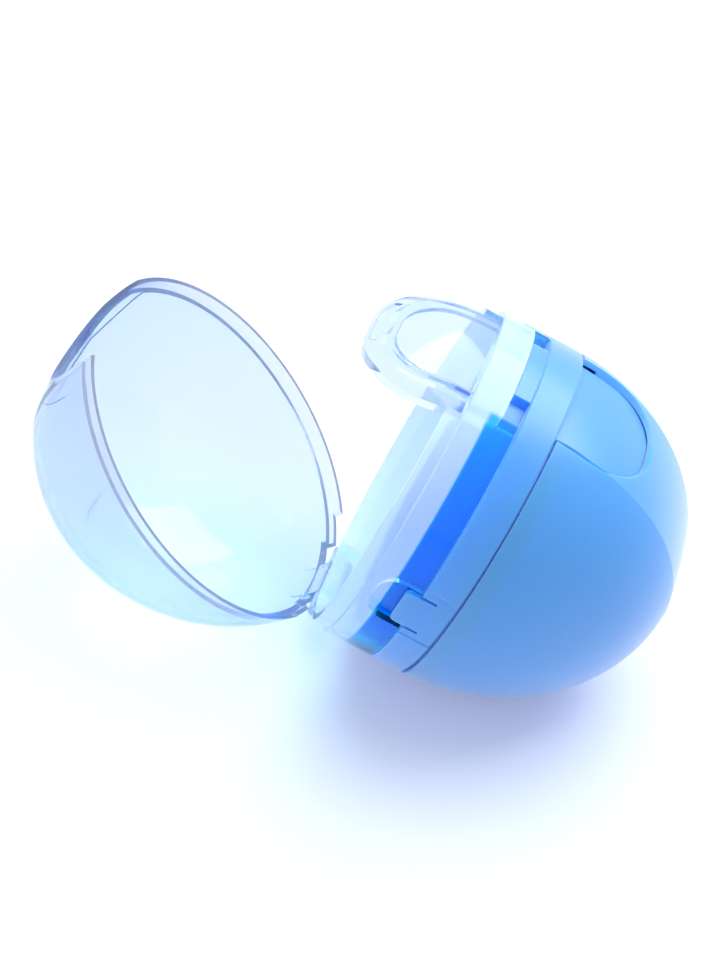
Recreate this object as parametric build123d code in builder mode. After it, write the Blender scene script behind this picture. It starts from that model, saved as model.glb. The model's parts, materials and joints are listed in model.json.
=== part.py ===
"""Egg-shaped pacifier box: two hinged domes on a ring, with one compartment behind each dome.

Every piece is drawn in the frame of the closed egg. Z runs along the egg from the blue end to the
clear end, X points at the latch tongues and away from the hinges, and Z = 0 is the rim of the ring
under the clear lid. At the end each piece is squeezed sideways to the egg's oval section and set
in the frame of the lying box: floor at Z = 0, clear lid open to its stop on the -X side.
"""

import os
from math import cos, radians, sin, sqrt, tan

from build123d import *

# Egg
half_height = 33.6  # middle to skin, on the tongue side and the hinge side
half_width = 28.9  # middle to skin, the other way across
dome_depth = 35.0  # rim of the ring to the tip of a full dome
face_drop = 1.5  # how far the flatter tongue side lies under the full dome
face_radius = 60.0  # crosswise radius of that flatter side
base_flat = 1.3  # height cut off the tip of the blue dome for its standing face
rest_flat = 0.15  # height cut off each dome where the open box lies on it

# Lids
wall = 1.8
collar = 0.8  # thin edge of a lid that laps over the ring
collar_height = 3.0
lap_gap = 0.2
rim_gap = 0.3
border_wall = 1.6  # lid's wall round its cut-out, over the tongue's flange

# Ring
clear_band = 8.8
blue_band = 6.1
seam_gap = 0.2
seam_widening = 0.65  # how much wider the gap at the blue lid's rim is at the hinge
seam_widening_start = 25.0  # place along X from which that gap widens
ring_wall = 2.3
spigot_height = 2.75
joint_wall = 1.5  # collar of the blue frame that plugs into the clear frame
joint_height = 5.1
joint_gap = 0.15
divider = 1.6
divider_rise = 2.5  # underside of the divider over the lower edge of the blue band
edge_round = 0.35
root_depth = 4.2  # thicker wall of a frame that carries the root of its tongue
clear_root_height = 5.6
blue_root_height = 3.0

# Latch tongues
panel_half = 9.8
panel_sink = 1.0  # how far the panel's face lies under the skin
panel_lean = 7.0  # lean of the panel's face, which its sloped walls are set square to
panel_slope = 40.0  # slope of the panel's side walls
bevel_slope = 52.0  # slope of the cut-out's bevelled edge
bevel_gap = 0.35  # cut-out to panel, where the bevel ends
panel_height = 15.7
panel_corner = 9.4
panel_gap = 0.25
flange_width = 3.4
latch_wall = 1.3
latch_gap = 0.05
groove_width = 1.0
groove_depth = 0.45
groove_margin = 2.2  # middle of the groove, out from the panel's outline
groove_start = -3.6
groove_end = 7.1

# Clips that hold the clear frame on the blue frame
clip_middle = -1.05  # place along X, a little towards the hinge
clip_half = 3.75
clip_reach = 2.6  # over the upper edge of the blue band
clip_thick = 1.2
clip_corner = 0.9
slit_width = 0.6
slit_length = 2.8
slit_depth = 2.0
pocket_half = 4.9
pocket_height = 7.0
pocket_corner = 3.6
pocket_depth = 1.5
pad_margin = 2.3  # sunk pad round a clip, past the clip's sides
pad_depth = 0.15
hinge_zone_start = -7.8  # place along X where the clear band's sunk hinge side begins

# Key of the blue frame in the notch of the clear frame
key_half = 7.0
notch_half = 11.8
notch_height = 3.0
key_gap = 0.3
key_drop = 0.6

# Hinges
open_angle = 60.8
hinge_inset = 0.1  # axis, inside the skin
hinge_rise = 1.6
knuckle_radius = 1.5
pin_radius = 0.7
pin_running_gap = 0.05
pin_press = 0.01
knuckle_half = 4.0
knuckle_gap = 0.25
frame_knuckle = 3.95
relief_gap = 0.3
arm_height = 8.0
arm_foot = 0.5
lid_relief_height = 4.0
lid_relief_margin = 0.4
outer_relief_half = 14.0
outer_relief_height = 2.0
hinge_pad = 1.2
tooth_half = 0.5  # tooth of a lid's knuckle, which meets the frame when the lid is open
tooth_reach = 2.6
stop_gap = 0.05

# Worked out
squeeze = half_width / half_height
ring_height = clear_band + seam_gap + blue_band
spigot_radius = half_height - collar - lap_gap
band_inner = half_height - ring_wall
joint_radius = band_inner - joint_gap
blue_inner = joint_radius - joint_wall
border_depth = border_wall + lap_gap
flange_inner = border_depth + latch_wall
hinge_reach = half_height - hinge_inset
frame_hinge_half = knuckle_half + knuckle_gap + frame_knuckle
root_of_knuckle = 2.5 * knuckle_radius
slope_run = 2 * panel_sink
relief_radius = knuckle_radius + relief_gap
blue_edge = -clear_band - seam_gap
axis_offset = face_radius / squeeze**2 - half_height
far = 2 * half_height
lap = 0.5  # how far a cutting or joined shape runs past the face it meets
halvings = 60  # steps of the search for the resting tilt
CLEAR, BLUE = 1, -1


def across(width):
    """A sideways size as it is drawn, before the egg is squeezed."""
    return width / squeeze


def rim_height(side):
    """Z of the ring's rim under the lid of that side."""
    return 0 if side == CLEAR else -ring_height


def meridian(side):
    """Plane of the egg's lengthwise section: x towards the tongue, y out of the ring."""
    return Plane(origin=(0, 0, rim_height(side)), x_dir=(1, 0, 0), z_dir=(0, -side, 0))


def front(side, reach=0.0):
    """Plane across the tongue side at a reach along X: x sideways, y out of the ring."""
    return Plane(origin=(reach, 0, rim_height(side)), x_dir=(0, side, 0), z_dir=(1, 0, 0))


def skin_reach(sideways, along, depth):
    """X of the surface at a depth under the skin, at a drawn place sideways and along the egg."""
    radius, length = half_height - depth, dome_depth - depth
    dome = sqrt(radius**2 * (1 - (along / length) ** 2) - sideways**2)
    crown = (radius - face_drop) * sqrt(1 - (along / (length - face_drop / 2)) ** 2)
    return min(dome, sqrt((axis_offset + crown) ** 2 - sideways**2) - axis_offset)


def block(left, right, low, high, mode=Mode.ADD):
    """Rectangle between four edges."""
    with Locations(((left + right) / 2, (low + high) / 2)):
        Rectangle(right - left, high - low, mode=mode)


def egg_space(side, depth, low, high):
    """Solid inside the surface that lies a depth under the skin, between two heights over the rim."""
    with BuildPart() as space:
        with BuildSketch(meridian(side)):
            Ellipse(half_height - depth, dome_depth - depth)
            block(0, half_height, low, high, mode=Mode.INTERSECT)
        revolve(axis=Axis.Z)
        with BuildSketch(meridian(side)):
            Ellipse(half_height - face_drop - depth, dome_depth - face_drop / 2 - depth)
            block(-axis_offset, 0, -far, far)
            block(-axis_offset, half_height, low - lap, high + lap, mode=Mode.INTERSECT)
        revolve(axis=Axis((-axis_offset, 0, 0), (0, 0, 1)), mode=Mode.INTERSECT)
    return space.part


def arch(side, half, height, corner, low=-lap, mode=Mode.SUBTRACT):
    """Prism on the tongue side with the outline of a panel: straight sides and round top corners."""
    with BuildSketch(front(side)) as outline:
        block(-across(half), across(half), low, height)
        fillet(outline.vertices().group_by(Axis.Y)[-1], corner)
    extrude(outline.sketch, amount=far, mode=mode)


def sloped_arch(side, half, height, corner, slope):
    """Prism with a panel's outline where it meets the panel's face, and sloping walls."""
    lean_x, lean_z = cos(radians(panel_lean)), sin(radians(panel_lean))
    level = skin_reach(across(half), height / 2, panel_sink)
    drop = level - skin_reach(0, height, panel_sink)
    fall = drop * lean_x - height / 2 * lean_z
    rise = drop * lean_z + height / 2 * lean_x
    slant = tan(radians(slope))
    top = rise - fall * slant
    rounding = min(corner - fall * slant, across(half) - lap)
    face = Plane(
        origin=(level, 0, rim_height(side) + side * height / 2),
        x_dir=(0, side, 0),
        z_dir=(lean_x, 0, side * lean_z),
    )
    with BuildPart() as prism:
        for reach in (-fall - slope_run, half_height - level):
            spread = -reach * slant
            with BuildSketch(Plane.XY.offset(reach)) as outline:
                block(-across(half) - spread, across(half) + spread, -height, top + spread)
                fillet(outline.vertices().group_by(Axis.Y)[-1], rounding + spread)
        loft(ruled=True)
    return prism.part.moved(face.location)


def under_arch(side, depth, half, height, corner, low=-lap):
    """Egg space inside an arch outline."""
    space = egg_space(side, depth, max(low, 0), dome_depth)
    with BuildPart() as piece:
        add(space)
        arch(side, half, height, corner, low, mode=Mode.INTERSECT)
    return piece.part


def ring_piece(outer, inner, left, right, low, high, corner=0.0):
    """Part of a tube round Z between two places along X, on both sides of the box."""
    with BuildPart() as piece:
        with BuildSketch(meridian(CLEAR)):
            block(inner, outer, low, high)
        revolve(axis=Axis.Z)
        with BuildSketch(meridian(CLEAR)) as outline:
            block(left, right, low, high)
            if corner:
                fillet(outline.vertices().group_by(Axis.Y)[-1], corner)
        extrude(amount=far, both=True, mode=Mode.INTERSECT)
    return piece.part


def ring_front(outer, inner, half, low, high):
    """Part of a tube round Z on the tongue side, as wide as twice the half."""
    with BuildPart() as piece:
        with BuildSketch(meridian(CLEAR)):
            block(inner, outer, low, high)
        revolve(axis=Axis.Z)
        with BuildSketch(front(CLEAR)):
            block(-across(half), across(half), low, high)
        extrude(amount=far, mode=Mode.INTERSECT)
    return piece.part


def seam_wedge():
    """What the gap at the blue lid's rim gains towards the hinge, taken from the blue band's edge."""
    edge = -ring_height
    rise = seam_widening / (seam_widening_start + half_height)
    outline = [
        (seam_widening_start, edge),
        (-far, edge + rise * (seam_widening_start + far)),
        (-far, edge - lap),
        (seam_widening_start, edge - lap),
    ]
    with BuildPart() as wedge:
        with BuildSketch(meridian(CLEAR)):
            block(spigot_radius, far, edge - lap, blue_edge)
        revolve(axis=Axis.Z)
        with BuildSketch(meridian(CLEAR)) as cut:
            Polygon(*outline, align=None)
        extrude(cut.sketch, amount=far, both=True, mode=Mode.INTERSECT)
    return wedge.part


def squeezed():
    """Squeeze the piece from the round section it is drawn with to the oval one."""
    scale(by=(1, squeeze, 1), about=(0, 0, 0))


def oval(solid):
    """Solid squeezed as the egg is."""
    with BuildPart() as piece:
        add(solid)
        squeezed()
    return piece.part


def hinge_round(side, radius, half, mode=Mode.ADD):
    """Cylinder on the hinge axis."""
    with BuildSketch(meridian(side)) as section:
        with Locations((-hinge_reach, hinge_rise)):
            Circle(radius)
    extrude(section.sketch, amount=half, both=True, mode=mode)


def frame_hinge(side):
    """Two knuckles of a frame, with room for the lid's knuckle between them."""
    outline = [
        (-hinge_reach - knuckle_radius, hinge_rise),
        (-half_height, -root_of_knuckle),
        (-band_inner - hinge_pad, -root_of_knuckle),
        (-band_inner - hinge_pad, hinge_rise),
    ]
    with BuildSketch(meridian(side)) as section:
        Polygon(*outline, align=None)
        block(-band_inner - lap, -band_inner + hinge_pad, -joint_height / 2, spigot_height)
    extrude(section.sketch, amount=frame_hinge_half, both=True)
    hinge_round(side, knuckle_radius, frame_hinge_half)
    hinge_round(side, relief_radius, knuckle_half + knuckle_gap, mode=Mode.SUBTRACT)
    with BuildSketch(meridian(side)) as room:
        with Locations((-hinge_reach, hinge_rise)):
            Circle(tooth_reach + relief_gap)
        with Locations(Location((-hinge_reach, hinge_rise, 0), (0, 0, open_angle))):
            block(-far, tooth_half + stop_gap, -far, far, mode=Mode.INTERSECT)
        block(-far, -half_height, -far, hinge_rise)
        block(-far, -hinge_reach + relief_radius, hinge_rise, far)
    extrude(room.sketch, amount=knuckle_half + knuckle_gap, both=True, mode=Mode.SUBTRACT)
    hinge_round(side, pin_radius - pin_press, frame_hinge_half, mode=Mode.SUBTRACT)


def lid_hinge(side):
    """Relief of the lid's rim at the hinge, its knuckle and arm, and the tooth that stops the lid."""
    for height, half in (
        (lid_relief_height, frame_hinge_half + lid_relief_margin),
        (outer_relief_height, outer_relief_half),
    ):
        with BuildSketch(meridian(side)) as relief:
            block(-far, 0, 0, height)
        extrude(relief.sketch, amount=half, both=True, mode=Mode.SUBTRACT)
    skin = half_height * sqrt(1 - (arm_height / dome_depth) ** 2)
    arm = [
        (-hinge_reach - knuckle_radius, hinge_rise),
        (-skin, arm_height),
        (-skin + wall / 2, arm_height),
        (-hinge_reach + knuckle_radius, hinge_rise + arm_foot),
        (-hinge_reach, hinge_rise),
    ]
    tooth_low, tooth_high = hinge_rise - tooth_reach, hinge_rise
    with BuildSketch(meridian(side)) as section:
        Polygon(*arm, align=None)
        block(-hinge_reach - tooth_half, -hinge_reach + tooth_half, tooth_low, tooth_high)
    extrude(section.sketch, amount=knuckle_half, both=True)
    hinge_round(side, knuckle_radius, knuckle_half)
    hinge_round(side, pin_radius + pin_running_gap, knuckle_half, mode=Mode.SUBTRACT)


def lowest_of_dome(tilt, middle_height):
    """Height of a dome's lowest point over the hinge axis, for the egg's X axis at a tilt from Z."""
    up_x, up_z = cos(radians(tilt)), sin(radians(tilt))
    middle = hinge_reach * up_x + middle_height * up_z
    return middle - sqrt((half_height * up_x) ** 2 + (dome_depth * up_z) ** 2)


def resting_tilt():
    """Tilt of the ring that lets both domes reach the same floor when the clear lid is open."""
    low, high = 0.0, open_angle
    for _ in range(halvings):
        tilt = (low + high) / 2
        body = lowest_of_dome(tilt, -ring_height - hinge_rise)
        lid = lowest_of_dome(open_angle - tilt, hinge_rise)
        if body > lid:
            low = tilt
        else:
            high = tilt
    return tilt


# Resting pose
tilt = resting_tilt()
floor_drop = -lowest_of_dome(tilt, -ring_height - hinge_rise) - rest_flat
hinge_place = Location((0, 0, floor_drop))
closed_hinge = Location((-hinge_reach, 0, hinge_rise))
body_pose = hinge_place * Location((0, 0, 0), (0, tilt - 90, 0)) * closed_hinge.inverse()
lid_pose = hinge_place * Location((0, 0, 0), (0, tilt - 90 - open_angle, 0)) * closed_hinge.inverse()


def rest_face(pose):
    """Flatten the piece where it lies on the floor."""
    split(bisect_by=Plane(pose.inverse()), keep=Keep.TOP)


def grown(margin):
    """Outline of a tongue's panel with a margin added all round."""
    return panel_half + margin, panel_height + margin, panel_corner + margin


def lid_solids(side):
    """Outer shape of a lid, and the spaces that are taken out of it."""
    outer = egg_space(side, 0, rim_gap, dome_depth)
    inner = egg_space(side, wall, 0, dome_depth - wall - (base_flat if side == BLUE else 0))
    over_ring = egg_space(side, collar, 0, collar_height)
    border = under_arch(side, border_wall, *grown(flange_width + panel_gap))
    return outer, (inner, over_ring, border)


def cut_outs(side):
    """Cut-out of a lid: sloped like the tongue's walls under its face, and bevelled over it."""
    sloped = sloped_arch(side, *grown(panel_gap), panel_slope)
    bevelled = sloped_arch(side, *grown(bevel_gap), -bevel_slope)
    return oval(sloped), oval(bevelled)


def latch_flange(side):
    """Flange of a tongue, with a curved groove near its tip."""
    with BuildPart() as groove:
        arch(side, *grown(groove_margin + groove_width / 2), mode=Mode.ADD)
        arch(side, *grown(groove_margin - groove_width / 2))
        with BuildSketch(front(side)):
            block(across(groove_start), across(groove_end), panel_height - panel_corner / 2, far)
        extrude(amount=far, mode=Mode.INTERSECT)
        add(egg_space(side, border_depth + groove_depth, 0, dome_depth), mode=Mode.SUBTRACT)
    flange = under_arch(side, border_depth, *grown(flange_width), low=latch_gap)
    with BuildPart() as piece:
        add(flange)
        add(groove.part, mode=Mode.SUBTRACT)
    return oval(piece.part)


def latch_panel(side):
    """Raised panel of a tongue with sloped side walls."""
    space = oval(egg_space(side, panel_sink, latch_gap, dome_depth))
    walls = oval(sloped_arch(side, *grown(0), panel_slope))
    with BuildPart() as piece:
        add(space)
        add(walls, mode=Mode.INTERSECT)
    return piece.part


def latch_spaces(side):
    """Spaces that are taken out of a tongue."""
    inner = egg_space(side, flange_inner, 0, dome_depth)
    hollow = under_arch(side, panel_sink + latch_wall, *grown(-latch_wall))
    return oval(inner), oval(hollow)


# Solids that the pieces are made of and cut with
clear_lid_outer, clear_lid_spaces = lid_solids(CLEAR)
blue_lid_outer, blue_lid_spaces = lid_solids(BLUE)
clear_cut_outs = cut_outs(CLEAR)
blue_cut_outs = cut_outs(BLUE)
clear_latch_pieces = latch_flange(CLEAR), latch_panel(CLEAR)
clear_latch_spaces = latch_spaces(CLEAR)
blue_latch_pieces = latch_flange(BLUE), latch_panel(BLUE)
blue_latch_spaces = latch_spaces(BLUE)

clip_left, clip_right = clip_middle - clip_half, clip_middle + clip_half
clips = ring_piece(
    half_height,
    half_height - clip_thick,
    clip_left,
    clip_right,
    blue_edge - lap,
    blue_edge + clip_reach,
    clip_corner,
)
pockets = ring_piece(
    far,
    half_height - pocket_depth,
    clip_middle - pocket_half,
    clip_middle + pocket_half,
    -clear_band - lap,
    -clear_band + pocket_height,
    pocket_corner,
)
slits = [
    ring_piece(far, half_height - slit_depth, left, left + slit_width, blue_edge - slit_length, 0)
    for left in (clip_left - slit_width, clip_right)
]
pads = ring_piece(
    far,
    half_height - pad_depth,
    clip_left - pad_margin,
    clip_right + pad_margin,
    -ring_height,
    blue_edge + clip_reach,
)
hinge_side = ring_piece(far, half_height - pad_depth, -far, hinge_zone_start, -far, 0)
key = ring_front(
    half_height - key_drop,
    joint_radius - joint_wall / 2,
    key_half,
    blue_edge - lap,
    -clear_band + notch_height - key_gap,
)
notch_top = -clear_band + notch_height
notch = ring_front(far, band_inner - lap, notch_half, -clear_band - lap, notch_top)
collar_notch = ring_front(
    joint_radius + joint_gap / 2,
    blue_inner - lap,
    notch_half + key_gap,
    notch_top - key_gap,
    0,
)
clear_root = ring_front(
    band_inner + lap,
    half_height - root_depth,
    notch_half,
    -clear_root_height,
    0,
)
blue_root = ring_front(
    band_inner + lap,
    half_height - root_depth,
    notch_half,
    -ring_height,
    -ring_height + blue_root_height,
)
widening = seam_wedge()

# Clear lid
with BuildPart() as clear_lid:
    add(clear_lid_outer)
    for space in clear_lid_spaces:
        add(space, mode=Mode.SUBTRACT)
    squeezed()
    for cut in clear_cut_outs:
        add(cut, mode=Mode.SUBTRACT)
    lid_hinge(CLEAR)
    rest_face(lid_pose)

# Clear frame
with BuildPart() as clear_frame:
    with BuildSketch(meridian(CLEAR)) as section:
        block(band_inner, half_height, -clear_band, 0)
        fillet(section.vertices().group_by(Axis.X)[-1], edge_round)
        block(band_inner, spigot_radius, -edge_round, spigot_height)
    revolve(axis=Axis.Z)
    add(hinge_side, mode=Mode.SUBTRACT)
    arch(CLEAR, *grown(flange_width + panel_gap), low=0)
    add(clear_root)
    add(notch, mode=Mode.SUBTRACT)
    add(pockets, mode=Mode.SUBTRACT)
    squeezed()
    frame_hinge(CLEAR)

# Clear latch tongue
with BuildPart() as clear_latch:
    for solid in clear_latch_pieces:
        add(solid)
    for space in clear_latch_spaces:
        add(space, mode=Mode.SUBTRACT)

# Blue frame
with BuildPart() as blue_frame:
    divider_low = -ring_height + divider_rise
    with BuildSketch(meridian(CLEAR)) as section:
        block(blue_inner, half_height, -ring_height, blue_edge)
        fillet(section.vertices().group_by(Axis.X)[-1], edge_round)
        block(blue_inner, joint_radius, blue_edge - edge_round, blue_edge + joint_height)
        block(0, blue_inner, divider_low, divider_low + divider)
        block(blue_inner, band_inner, -ring_height, divider_low, mode=Mode.SUBTRACT)
        block(band_inner, spigot_radius, -ring_height - spigot_height, -ring_height + edge_round)
    revolve(axis=Axis.Z)
    add(widening, mode=Mode.SUBTRACT)
    arch(BLUE, *grown(flange_width + panel_gap), low=0)
    add(blue_root)
    add(pads, mode=Mode.SUBTRACT)
    add(clips)
    for slit in slits:
        add(slit, mode=Mode.SUBTRACT)
    add(collar_notch, mode=Mode.SUBTRACT)
    add(key)
    squeezed()
    frame_hinge(BLUE)

# Blue latch tongue
with BuildPart() as blue_latch:
    for solid in blue_latch_pieces:
        add(solid)
    for space in blue_latch_spaces:
        add(space, mode=Mode.SUBTRACT)

# Blue lid
with BuildPart() as blue_lid:
    add(blue_lid_outer)
    for space in blue_lid_spaces:
        add(space, mode=Mode.SUBTRACT)
    squeezed()
    for cut in blue_cut_outs:
        add(cut, mode=Mode.SUBTRACT)
    lid_hinge(BLUE)
    rest_face(body_pose)
    standing_face = Plane(origin=(0, 0, -ring_height - dome_depth + base_flat))
    split(bisect_by=standing_face, keep=Keep.TOP)

# Hinge pins
with BuildPart() as clear_hinge_pin:
    hinge_round(CLEAR, pin_radius, frame_hinge_half)

with BuildPart() as blue_hinge_pin:
    hinge_round(BLUE, pin_radius, frame_hinge_half)

# Lying box, with its middle over the origin
box_back = clear_lid.part.moved(lid_pose).bounding_box().min.X
box_front = blue_lid.part.moved(body_pose).bounding_box().max.X
centred = Location((-(box_back + box_front) / 2, 0, 0))
clear_lid.part.move(centred * lid_pose)
for piece in (clear_frame, clear_latch, blue_frame, blue_latch, blue_lid, clear_hinge_pin, blue_hinge_pin):
    piece.part.move(centred * body_pose)

# Axes of the joints, for the record
latch_root = sqrt((half_height - flange_inner) ** 2 - across(panel_half + flange_width) ** 2)
for name, place in (
    ("clear lid hinge", (-hinge_reach, 0, hinge_rise)),
    ("blue lid hinge", (-hinge_reach, 0, -ring_height - hinge_rise)),
    ("clear latch root", (latch_root, 0, 0)),
    ("blue latch root", (latch_root, 0, -ring_height)),
    ("base flat", (0, 0, -ring_height - dome_depth + base_flat)),
):
    print(name, centred * body_pose * Location(place))
print("tilt of the ring", tilt)

os.makedirs("parts", exist_ok=True)

clear_lid.part.label = "clear_lid"
clear_frame.part.label = "clear_frame"
clear_latch.part.label = "clear_latch"
blue_frame.part.label = "blue_frame"
blue_latch.part.label = "blue_latch"
blue_lid.part.label = "blue_lid"
clear_hinge_pin.part.label = "clear_hinge_pin"
blue_hinge_pin.part.label = "blue_hinge_pin"

export_step(clear_lid.part, "parts/clear_lid.step")
export_step(clear_frame.part, "parts/clear_frame.step")
export_step(clear_latch.part, "parts/clear_latch.step")
export_step(blue_frame.part, "parts/blue_frame.step")
export_step(blue_latch.part, "parts/blue_latch.step")
export_step(blue_lid.part, "parts/blue_lid.step")
export_step(clear_hinge_pin.part, "parts/clear_hinge_pin.step")
export_step(blue_hinge_pin.part, "parts/blue_hinge_pin.step")
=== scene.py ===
"""Pacifier box: finishes, floor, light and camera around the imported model. All lengths are in metres."""

import json
from math import cos, radians, sin

import bpy
from mathutils import Matrix, Vector


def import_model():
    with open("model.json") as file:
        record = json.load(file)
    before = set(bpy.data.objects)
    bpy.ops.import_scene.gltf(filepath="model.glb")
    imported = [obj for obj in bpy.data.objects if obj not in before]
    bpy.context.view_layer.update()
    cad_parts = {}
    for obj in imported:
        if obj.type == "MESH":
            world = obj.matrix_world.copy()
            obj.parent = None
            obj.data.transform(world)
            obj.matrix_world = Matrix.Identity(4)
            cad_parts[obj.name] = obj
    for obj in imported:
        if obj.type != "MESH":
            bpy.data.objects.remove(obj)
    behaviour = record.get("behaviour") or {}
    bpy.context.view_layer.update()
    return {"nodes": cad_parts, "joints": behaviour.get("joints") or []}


# Camera, in the photograph's 720 x 960 frame
AZIMUTH = radians(12.33)
ELEVATION = radians(42.02)
ROLL = radians(5.53)
DISTANCE = 0.400
TARGET_RIGHT = 0.00567
TARGET_UP = 0.01858
FOCAL_PIXELS = 2189.9
FRAME_HEIGHT_PIXELS = 960
SENSOR = 36.0

# Colours, linear
WHITE = (1.0, 1.0, 1.0, 1.0)
CLEAR_TINT = (0.88, 0.865, 0.96, 1.0)
TONGUE_TINT = (0.74, 0.765, 0.90, 1.0)
BAND_TINT = (0.86, 0.95, 1.0, 1.0)
# painted light: the blue of the collar behind the clear ring, seen through it, painted onto the ring
# itself
PAINTED_COLLAR_LIGHT_TINT = (0.02, 0.62, 1.0, 1.0)
CLEAR_DEPTH = (0.0, 0.70, 1.0, 1.0)  # what is left of the light on a long way through
BAND_DEPTH = (0.0, 0.78, 1.0, 1.0)
PASSED_TINT = (0.75, 0.88, 0.98, 1.0)  # light that a clear piece lets through to what it shades
BLUE = (0.04, 0.325, 1.0, 1.0)
BLUE_PALE = (0.06, 0.355, 1.0, 1.0)
FLOOR_WHITE = (0.67, 0.74, 0.87, 1.0)

# Clear plastic: absorption, and the share of the light that passes instead of making it milky
CLEAR_DENSITY = 86.0
BAND_DENSITY = 60.0
CLEAR_SHARE = 0.86
TONGUE_SHARE = 0.90
BAND_SHARE = 0.62
# share of light let through where the collar's blue is painted onto the clear ring (painted light)
PAINTED_COLLAR_LIGHT_SHARE = 0.97
CLEAR_IOR = 1.36

# Blue plastic
BLUE_IOR = 1.47
INNER_LIGHT = 0.55
INNER_LIGHT_RADIUS = (0.3, 0.6, 1.0)
INNER_LIGHT_SCALE = 0.006
COAT = 0.8
COAT_ROUGHNESS = 0.42
SHEEN = 0.45
SHEEN_ROUGHNESS = 0.45
CLOUD_SCALE = 45.0
CLOUD_DETAIL = 2.0

# Fine grain of the moulded surfaces, and the roughness that follows it
GRAIN_DETAIL = 3.0
GRAIN_ROUGHNESS = 0.55
GRAIN_DEPTH = 0.0001
GRAIN_LOW, GRAIN_HIGH = 0.35, 0.65
CLEAR_GRAIN_SCALE = 900.0
CLEAR_GRAIN_STRENGTH = 0.03
CLEAR_ROUGHNESS = (0.04, 0.10)
BLUE_GRAIN_SCALE = 1400.0
BLUE_GRAIN_STRENGTH = 0.04
BLUE_ROUGHNESS = (0.30, 0.38)

# Painted light: the blue of the collar behind the clear ring, painted onto the ring, along the closed egg
# from the ring's rim, and sideways
RIM_TO_HINGE = 0.0016
PAINTED_COLLAR_LIGHT_TOP = -0.0034
PAINTED_COLLAR_LIGHT_FULL = -0.0042
PAINTED_COLLAR_LIGHT_SIDE = 0.0116
PAINTED_COLLAR_LIGHT_SIDE_FULL = 0.0124

# Surroundings
FLOOR_HALF = 3.0
FLOOR_GLOW = 0.20
WORLD_LIGHT = 0.50
WORLD_SEEN = 1.0
LAMP_AIM = (0.0, 0.0, 0.03)
KEY_PLACE = (0.18, 0.24, 0.68)
KEY_SIZE = 0.70
KEY_POWER = 6.6
FILL_PLACE = (-0.50, -0.40, 0.30)
FILL_SIZE = 0.60
FILL_POWER = 0.8

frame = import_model()
nodes = frame["nodes"]
joints = {joint["name"]: joint for joint in frame["joints"]}


def adder(tree):
    """Function that adds a node to a tree, with its settings and its sockets' values."""

    def node(kind, **values):
        added = tree.nodes.new(kind)
        for key, value in values.items():
            if hasattr(added, key):
                setattr(added, key, value)
            else:
                added.inputs[key.replace("_", " ")].default_value = value
        return added

    return node


def material(name):
    """New material with an empty node tree, and functions that add nodes and links to it."""
    made = bpy.data.materials.new(name)
    made.use_nodes = True
    made.node_tree.nodes.clear()
    return made, adder(made.node_tree), made.node_tree.links.new


def surface_grain(node, link, scale, strength):
    """Fine noise of a moulded surface, and a bump made of it."""
    place = node("ShaderNodeTexCoord")
    grain = node("ShaderNodeTexNoise", Scale=scale, Detail=GRAIN_DETAIL, Roughness=GRAIN_ROUGHNESS)
    bump = node("ShaderNodeBump", Strength=strength, Distance=GRAIN_DEPTH)
    link(place.outputs["Object"], grain.inputs["Vector"])
    link(grain.outputs["Fac"], bump.inputs["Height"])
    return grain.outputs["Fac"], bump.outputs["Normal"]


def roughness_of(node, link, grain, low, high):
    """Roughness that follows the grain, between two values."""
    spread = node("ShaderNodeMapRange", From_Min=GRAIN_LOW, From_Max=GRAIN_HIGH, To_Min=low, To_Max=high)
    link(grain, spread.inputs["Value"])
    return spread.outputs["Result"]


def largest(node, link, sources):
    """The largest of several values."""
    most = sources[0]
    for other in sources[1:]:
        larger = node("ShaderNodeMath", operation="MAXIMUM")
        link(most, larger.inputs[0])
        link(other, larger.inputs[1])
        most = larger.outputs["Value"]
    return most


def seen(node, link):
    """1 for what the camera sees, straight or in gloss and clear plastic, 0 for what only lights."""
    path = node("ShaderNodeLightPath")
    kinds = ("Is Camera Ray", "Is Glossy Ray", "Is Transmission Ray")
    return largest(node, link, [path.outputs[kind] for kind in kinds])


def masked(node, link, source, start, full):
    """Value that rises from 0 to 1 between two values of a source."""
    step = node("ShaderNodeMapRange", interpolation_type="SMOOTHSTEP", From_Min=start, From_Max=full)
    link(source, step.inputs["Value"])
    return step.outputs["Result"]


def painted_collar_light_mask(node, link):
    """Where painted light goes: 1 where the blue collar lies close behind the clear ring, 0 elsewhere."""
    hinge = Vector(joints["clear_lid_hinge"]["pos_m"])
    along = (hinge - Vector(joints["blue_lid_hinge"]["pos_m"])).normalized()
    rim = along.dot(hinge) - RIM_TO_HINGE
    place = node("ShaderNodeTexCoord")
    height = node("ShaderNodeVectorMath", operation="DOT_PRODUCT")
    height.inputs[1].default_value = along
    link(place.outputs["Object"], height.inputs[0])
    low = masked(node, link, height.outputs["Value"], rim + PAINTED_COLLAR_LIGHT_TOP, rim + PAINTED_COLLAR_LIGHT_FULL)
    parts = node("ShaderNodeSeparateXYZ")
    link(place.outputs["Object"], parts.inputs["Vector"])
    sideways = node("ShaderNodeMath", operation="ABSOLUTE")
    link(parts.outputs["Y"], sideways.inputs[0])
    beside = masked(node, link, sideways.outputs["Value"], PAINTED_COLLAR_LIGHT_SIDE, PAINTED_COLLAR_LIGHT_SIDE_FULL)
    both = node("ShaderNodeMath", operation="MULTIPLY")
    link(low, both.inputs[0])
    link(beside, both.inputs[1])
    return both.outputs["Value"]


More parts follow.
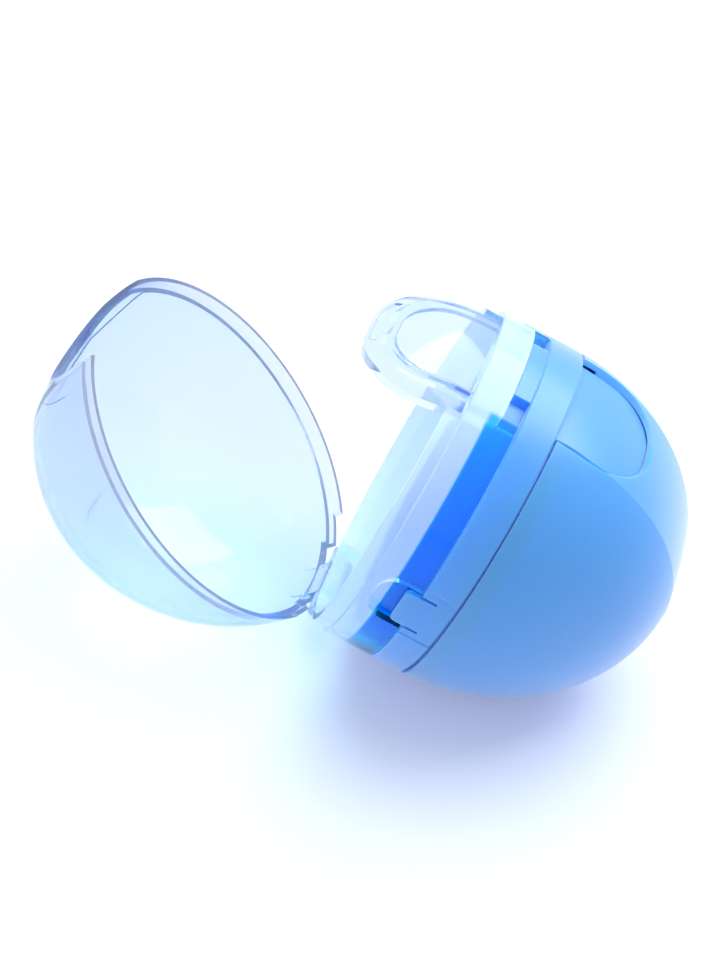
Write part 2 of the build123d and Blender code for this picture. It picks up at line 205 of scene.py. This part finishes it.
def clear_plastic(name, tint, depth, density, share, with_painted_collar_light=False):
    """Polished see-through plastic, tinted light blue, darker the longer the way through it; on the ring,
    also the painted light of the blue collar behind it.
    """
    made, node, link = material(name)
    shader = node("ShaderNodeBsdfPrincipled", IOR=CLEAR_IOR, Transmission_Weight=share, Base_Color=tint)
    # Painted light: where the collar lies behind the ring, the collar's blue seen through it is painted
    # into the ring's colour
    if with_painted_collar_light:
        collar = painted_collar_light_mask(node, link)
        tones = node("ShaderNodeMix", data_type="RGBA")
        tones.inputs["A"].default_value = tint
        tones.inputs["B"].default_value = PAINTED_COLLAR_LIGHT_TINT
        link(collar, tones.inputs["Factor"])
        link(tones.outputs["Result"], shader.inputs["Base Color"])
        shares = node("ShaderNodeMapRange", To_Min=share, To_Max=PAINTED_COLLAR_LIGHT_SHARE)
        link(collar, shares.inputs["Value"])
        link(shares.outputs["Result"], shader.inputs["Transmission Weight"])
    grain, normal = surface_grain(node, link, CLEAR_GRAIN_SCALE, CLEAR_GRAIN_STRENGTH)
    link(normal, shader.inputs["Normal"])
    link(roughness_of(node, link, grain, *CLEAR_ROUGHNESS), shader.inputs["Roughness"])
    inside = node("ShaderNodeVolumeAbsorption", Density=density, Color=depth)
    path = node("ShaderNodeLightPath")
    passed = node("ShaderNodeBsdfTransparent", Color=PASSED_TINT)
    mixed = node("ShaderNodeMixShader")
    out = node("ShaderNodeOutputMaterial")
    link(path.outputs["Is Shadow Ray"], mixed.inputs["Fac"])
    link(shader.outputs["BSDF"], mixed.inputs[1])
    link(passed.outputs["BSDF"], mixed.inputs[2])
    link(mixed.outputs["Shader"], out.inputs["Surface"])
    link(inside.outputs["Volume"], out.inputs["Volume"])
    return made


def blue_plastic():
    """Opaque light blue plastic with a smooth satin surface and a little light inside it."""
    made, node, link = material("blue_plastic")
    shader = node(
        "ShaderNodeBsdfPrincipled",
        IOR=BLUE_IOR,
        Subsurface_Weight=INNER_LIGHT,
        Subsurface_Radius=INNER_LIGHT_RADIUS,
        Subsurface_Scale=INNER_LIGHT_SCALE,
        Coat_Weight=COAT,
        Coat_Roughness=COAT_ROUGHNESS,
        Sheen_Weight=SHEEN,
        Sheen_Roughness=SHEEN_ROUGHNESS,
    )
    grain, normal = surface_grain(node, link, BLUE_GRAIN_SCALE, BLUE_GRAIN_STRENGTH)
    place = node("ShaderNodeTexCoord")
    cloud = node("ShaderNodeTexNoise", Scale=CLOUD_SCALE, Detail=CLOUD_DETAIL)
    tones = node("ShaderNodeMix", data_type="RGBA")
    tones.inputs["A"].default_value = BLUE
    tones.inputs["B"].default_value = BLUE_PALE
    out = node("ShaderNodeOutputMaterial")
    link(place.outputs["Object"], cloud.inputs["Vector"])
    link(cloud.outputs["Fac"], tones.inputs["Factor"])
    link(tones.outputs["Result"], shader.inputs["Base Color"])
    link(roughness_of(node, link, grain, *BLUE_ROUGHNESS), shader.inputs["Roughness"])
    link(normal, shader.inputs["Normal"])
    link(shader.outputs["BSDF"], out.inputs["Surface"])
    return made


def floor_material():
    """Matt white floor that the camera sees a little brighter than it lights its surroundings."""
    made, node, link = material("floor_white")
    shader = node("ShaderNodeBsdfDiffuse", Color=FLOOR_WHITE)
    glow = node("ShaderNodeEmission", Color=WHITE)
    share = node("ShaderNodeMath", operation="MULTIPLY")
    share.inputs[1].default_value = FLOOR_GLOW
    both = node("ShaderNodeAddShader")
    out = node("ShaderNodeOutputMaterial")
    link(seen(node, link), share.inputs[0])
    link(share.outputs["Value"], glow.inputs["Strength"])
    link(shader.outputs["BSDF"], both.inputs[0])
    link(glow.outputs["Emission"], both.inputs[1])
    link(both.outputs["Shader"], out.inputs["Surface"])
    return made


def floor():
    """Plain floor that reaches past every view."""
    corners = [(x * FLOOR_HALF, y * FLOOR_HALF, 0) for x, y in ((-1, -1), (1, -1), (1, 1), (-1, 1))]
    mesh = bpy.data.meshes.new("floor")
    mesh.from_pydata(corners, [], [(0, 1, 2, 3)])
    made = bpy.data.objects.new("floor", mesh)
    bpy.context.scene.collection.objects.link(made)
    mesh.materials.append(floor_material())


def light(name, place, size, power):
    """Soft square lamp turned to the box."""
    lamp = bpy.data.lights.new(name, "AREA")
    lamp.shape = "SQUARE"
    lamp.size = size
    lamp.energy = power
    made = bpy.data.objects.new(name, lamp)
    made.location = place
    made.rotation_euler = (Vector(LAMP_AIM) - Vector(place)).to_track_quat("-Z", "Y").to_euler()
    bpy.context.scene.collection.objects.link(made)


def world():
    """Even white surroundings, at full white to the camera and in what clear plastic and gloss show."""
    made = bpy.data.worlds.new("studio")
    made.use_nodes = True
    tree = made.node_tree
    tree.nodes.clear()
    node, link = adder(tree), tree.links.new
    back = node("ShaderNodeBackground", Color=WHITE)
    strength = node("ShaderNodeMapRange", To_Min=WORLD_LIGHT, To_Max=WORLD_SEEN)
    out = node("ShaderNodeOutputWorld")
    link(seen(node, link), strength.inputs["Value"])
    link(strength.outputs["Result"], back.inputs["Strength"])
    link(back.outputs["Background"], out.inputs["Surface"])
    bpy.context.scene.world = made


def camera():
    """Camera at the photograph's view, rolled a little as the photograph is."""
    hinge = Vector(joints["clear_lid_hinge"]["pos_m"])
    back = Vector((sin(AZIMUTH) * cos(ELEVATION), -cos(AZIMUTH) * cos(ELEVATION), sin(ELEVATION)))
    level = Vector((cos(AZIMUTH), sin(AZIMUTH), 0))
    upright = back.cross(level)
    right = level * cos(ROLL) + upright * sin(ROLL)
    up = upright * cos(ROLL) - level * sin(ROLL)
    eye = hinge + right * TARGET_RIGHT + up * TARGET_UP + back * DISTANCE
    data = bpy.data.cameras.new("camera")
    data.sensor_width = SENSOR
    data.lens = FOCAL_PIXELS * SENSOR / FRAME_HEIGHT_PIXELS
    made = bpy.data.objects.new("camera", data)
    made.matrix_world = Matrix.Translation(eye) @ Matrix((right, up, back)).transposed().to_4x4()
    bpy.context.scene.collection.objects.link(made)
    bpy.context.scene.camera = made


clear = clear_plastic("clear_plastic", CLEAR_TINT, CLEAR_DEPTH, CLEAR_DENSITY, CLEAR_SHARE)
tongue = clear_plastic("clear_tongue", TONGUE_TINT, CLEAR_DEPTH, CLEAR_DENSITY, TONGUE_SHARE)
# the ring's finish carries the painted light of the blue collar behind it
band = clear_plastic("clear_band", BAND_TINT, BAND_DEPTH, BAND_DENSITY, BAND_SHARE, with_painted_collar_light=True)
blue = blue_plastic()
clear_finishes = {"clear_frame": band, "clear_latch": tongue}
for name, node in nodes.items():
    finish = clear_finishes.get(name, clear) if name.startswith("clear") else blue
    node.data.materials.clear()
    node.data.materials.append(finish)

floor()
world()
light("key", KEY_PLACE, KEY_SIZE, KEY_POWER)
light("fill", FILL_PLACE, FILL_SIZE, FILL_POWER)
camera()
bpy.context.scene.view_settings.view_transform = "Standard"
